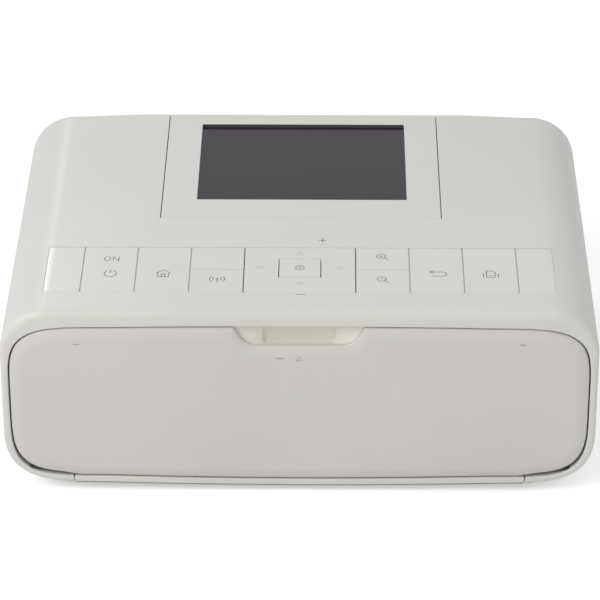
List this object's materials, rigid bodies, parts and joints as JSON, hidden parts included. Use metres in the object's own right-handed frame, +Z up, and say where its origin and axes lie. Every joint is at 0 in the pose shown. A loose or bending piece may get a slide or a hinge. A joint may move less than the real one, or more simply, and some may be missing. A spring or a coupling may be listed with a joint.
{
  "type": "compact photo printer",
  "caption": "Low box-shaped photo printer with a fold-down front cover, a tilting display, a strip of flat keys, an ink door on the right and a geared paper and ribbon drive inside.",
  "frame": {"origin": "on the table under the middle of the body's bounding box", "axes": "+X to the right along the longest side, +Y to the back, +Z up; the front cover faces -Y"},
  "size_m": [0.1806, 0.136, 0.0633],
  "materials": {
    "shell": "satin off-white moulded casing",
    "key_cap": "glossy off-white key caps",
    "cover": "satin off-white moulded cover",
    "liner": "fine matt moulding",
    "display_glass": "smoked display window",
    "display_module": "black",
    "rubber": "matt black rubber",
    "steel": "plated sheet steel",
    "turned_steel": "ground bright steel",
    "frame": "dark grey filled plastic",
    "dark_plastic": "black moulded plastic",
    "gear": "natural acetal",
    "brass": "sintered bronze",
    "aluminium": "extruded",
    "ceramic": "glazed ceramic strip",
    "board": "green solder mask",
    "ribbon": "dye film",
    "cassette": "dark grey moulded plastic"
  },
  "bodies": {
    "body": {"upper_shell": "shell", "bottom_cover": "shell", "rear_panel": "shell", "feet": "rubber", "base_screws": "steel", "chassis": "frame", "left_side_plate": "steel", "right_side_plate": "steel", "shaft_bushes": "brass", "paper_guide": "dark_plastic", "cover_pins": "turned_steel", "display_pins": "turned_steel", "key_bezel": "key_cap", "key_board": "board", "key_switches": "dark_plastic", "ink_door_pins": "turned_steel", "main_board": "board", "board_chips": "dark_plastic", "dc_inlet": "dark_plastic", "usb_socket": "steel", "card_socket": "steel", "head_pivot": "turned_steel", "supply_hub": "gear", "gear_pin": "turned_steel", "gear_bracket": "steel", "drive_motor": "dark_plastic"},
    "front_cover": {"front_cover": "cover", "cover_liner": "liner"},
    "display": {"display_frame": "shell", "display_glass": "display_glass", "display_module": "display_module", "display_back": "liner"},
    "ink_door": {"ink_door": "shell"},
    "capstan": {"capstan_roller": "turned_steel", "capstan_gear": "gear"},
    "pinch": {"pinch_roller": "rubber"},
    "platen": {"platen_roller": "rubber"},
    "feed": {"feed_shaft": "turned_steel", "feed_roller": "rubber", "feed_gear": "gear"},
    "reduction": {"reduction_gear": "gear"},
    "motor_shaft": {"motor_pinion": "brass"},
    "takeup_drive": {"takeup_hub": "gear"},
    "print_head": {"head_arm": "steel", "heat_sink": "aluminium", "thermal_head": "ceramic"},
    "ink_cassette": {"cassette_shell": "cassette", "ribbon_film": "ribbon"},
    "supply": {"supply_spool": "ribbon"},
    "takeup": {"takeup_spool": "ribbon"},
    "power_key": {"power_key": "key_cap"},
    "home_key": {"home_key": "key_cap"},
    "menu_key": {"menu_key": "key_cap"},
    "wireless_key": {"wireless_key": "key_cap"},
    "direction_pad": {"direction_pad": "key_cap"},
    "ok_key": {"ok_key": "key_cap"},
    "zoom_in_key": {"zoom_in_key": "key_cap"},
    "zoom_out_key": {"zoom_out_key": "key_cap"},
    "back_key": {"back_key": "key_cap"},
    "print_key": {"print_key": "key_cap"}
  },
  "joints": [
    {"name": "front_cover_hinge", "type": "hinge", "parent": "body", "child": "front_cover", "pos_m": [0, -0.06635, 0.0079], "axis": [1, 0, 0], "range_deg": [0, 90]},
    {"name": "display_tilt", "type": "hinge", "parent": "body", "child": "display", "pos_m": [0, -0.0046, 0.061], "axis": [1, 0, 0], "range_deg": [0, 45]},
    {"name": "ink_door_hinge", "type": "hinge", "parent": "body", "child": "ink_door", "pos_m": [0.0891, 0, 0.0261], "axis": [0, 1, 0], "range_deg": [0, 90]},
    {"name": "capstan_spin", "type": "hinge", "parent": "body", "child": "capstan", "pos_m": [0, -0.01, 0.0217], "axis": [1, 0, 0], "continuous": true},
    {"name": "pinch_spin", "type": "hinge", "parent": "body", "child": "pinch", "pos_m": [0, -0.01, 0.0293], "axis": [1, 0, 0], "continuous": true},
    {"name": "platen_spin", "type": "hinge", "parent": "body", "child": "platen", "pos_m": [0, 0.026, 0.0193], "axis": [1, 0, 0], "continuous": true},
    {"name": "feed_spin", "type": "hinge", "parent": "body", "child": "feed", "pos_m": [0, -0.03736, 0.0405], "axis": [1, 0, 0], "continuous": true},
    {"name": "reduction_spin", "type": "hinge", "parent": "body", "child": "reduction", "pos_m": [0, -0.022, 0.03518], "axis": [1, 0, 0], "continuous": true},
    {"name": "motor_spin", "type": "hinge", "parent": "body", "child": "motor_shaft", "pos_m": [0, -0.039, 0.04285], "axis": [1, 0, 0], "continuous": true},
    {"name": "takeup_drive_spin", "type": "hinge", "parent": "body", "child": "takeup_drive", "pos_m": [0, 0.00819, 0.0365], "axis": [1, 0, 0], "continuous": true},
    {"name": "head_lift", "type": "hinge", "parent": "body", "child": "print_head", "pos_m": [0, 0.05745, 0.05], "axis": [1, 0, 0], "range_deg": [-5, 0]},
    {"name": "cassette_eject", "type": "slide", "parent": "body", "child": "ink_cassette", "axis": [1, 0, 0], "range_m": [0, 0.0025]},
    {"name": "supply_spin", "type": "hinge", "parent": "ink_cassette", "child": "supply", "pos_m": [0, 0.04309, 0.0365], "axis": [1, 0, 0], "continuous": true},
    {"name": "takeup_spin", "type": "hinge", "parent": "ink_cassette", "child": "takeup", "pos_m": [0, 0.00819, 0.0365], "axis": [1, 0, 0], "continuous": true},
    {"name": "power_key_press", "type": "slide", "parent": "body", "child": "power_key", "axis": [0, 0, -1], "range_m": [0, 0.0004], "stiffness_N_per_m": 300},
    {"name": "home_key_press", "type": "slide", "parent": "body", "child": "home_key", "axis": [0, 0, -1], "range_m": [0, 0.0004], "stiffness_N_per_m": 300},
    {"name": "menu_key_press", "type": "slide", "parent": "body", "child": "menu_key", "axis": [0, 0, -1], "range_m": [0, 0.0004], "stiffness_N_per_m": 300},
    {"name": "wireless_key_press", "type": "slide", "parent": "body", "child": "wireless_key", "axis": [0, 0, -1], "range_m": [0, 0.0004], "stiffness_N_per_m": 300},
    {"name": "direction_pad_rock", "type": "hinge", "parent": "body", "child": "direction_pad", "pos_m": [0, -0.03965, 0.0612], "axis": [0, 1, 0], "range_deg": [-1, 1], "stiffness_Nm_per_rad": 0.05},
    {"name": "ok_key_press", "type": "slide", "parent": "body", "child": "ok_key", "axis": [0, 0, -1], "range_m": [0, 0.0004], "stiffness_N_per_m": 300},
    {"name": "zoom_in_key_press", "type": "slide", "parent": "body", "child": "zoom_in_key", "axis": [0, 0, -1], "range_m": [0, 0.0004], "stiffness_N_per_m": 300},
    {"name": "zoom_out_key_press", "type": "slide", "parent": "body", "child": "zoom_out_key", "axis": [0, 0, -1], "range_m": [0, 0.0004], "stiffness_N_per_m": 300},
    {"name": "back_key_press", "type": "slide", "parent": "body", "child": "back_key", "axis": [0, 0, -1], "range_m": [0, 0.0004], "stiffness_N_per_m": 300},
    {"name": "print_key_press", "type": "slide", "parent": "body", "child": "print_key", "axis": [0, 0, -1], "range_m": [0, 0.0004], "stiffness_N_per_m": 300}
  ],
  "couplings": [
    {"joint": "pinch_spin", "follows": "capstan_spin", "ratio": -1},
    {"joint": "reduction_spin", "follows": "capstan_spin", "ratio": -2.3333},
    {"joint": "feed_spin", "follows": "capstan_spin", "ratio": 1.1667},
    {"joint": "motor_spin", "follows": "capstan_spin", "ratio": 9.7222},
    {"joint": "takeup_drive_spin", "follows": "capstan_spin", "ratio": -1.1667},
    {"joint": "takeup_spin", "follows": "capstan_spin", "ratio": -1.1667}
  ]
}
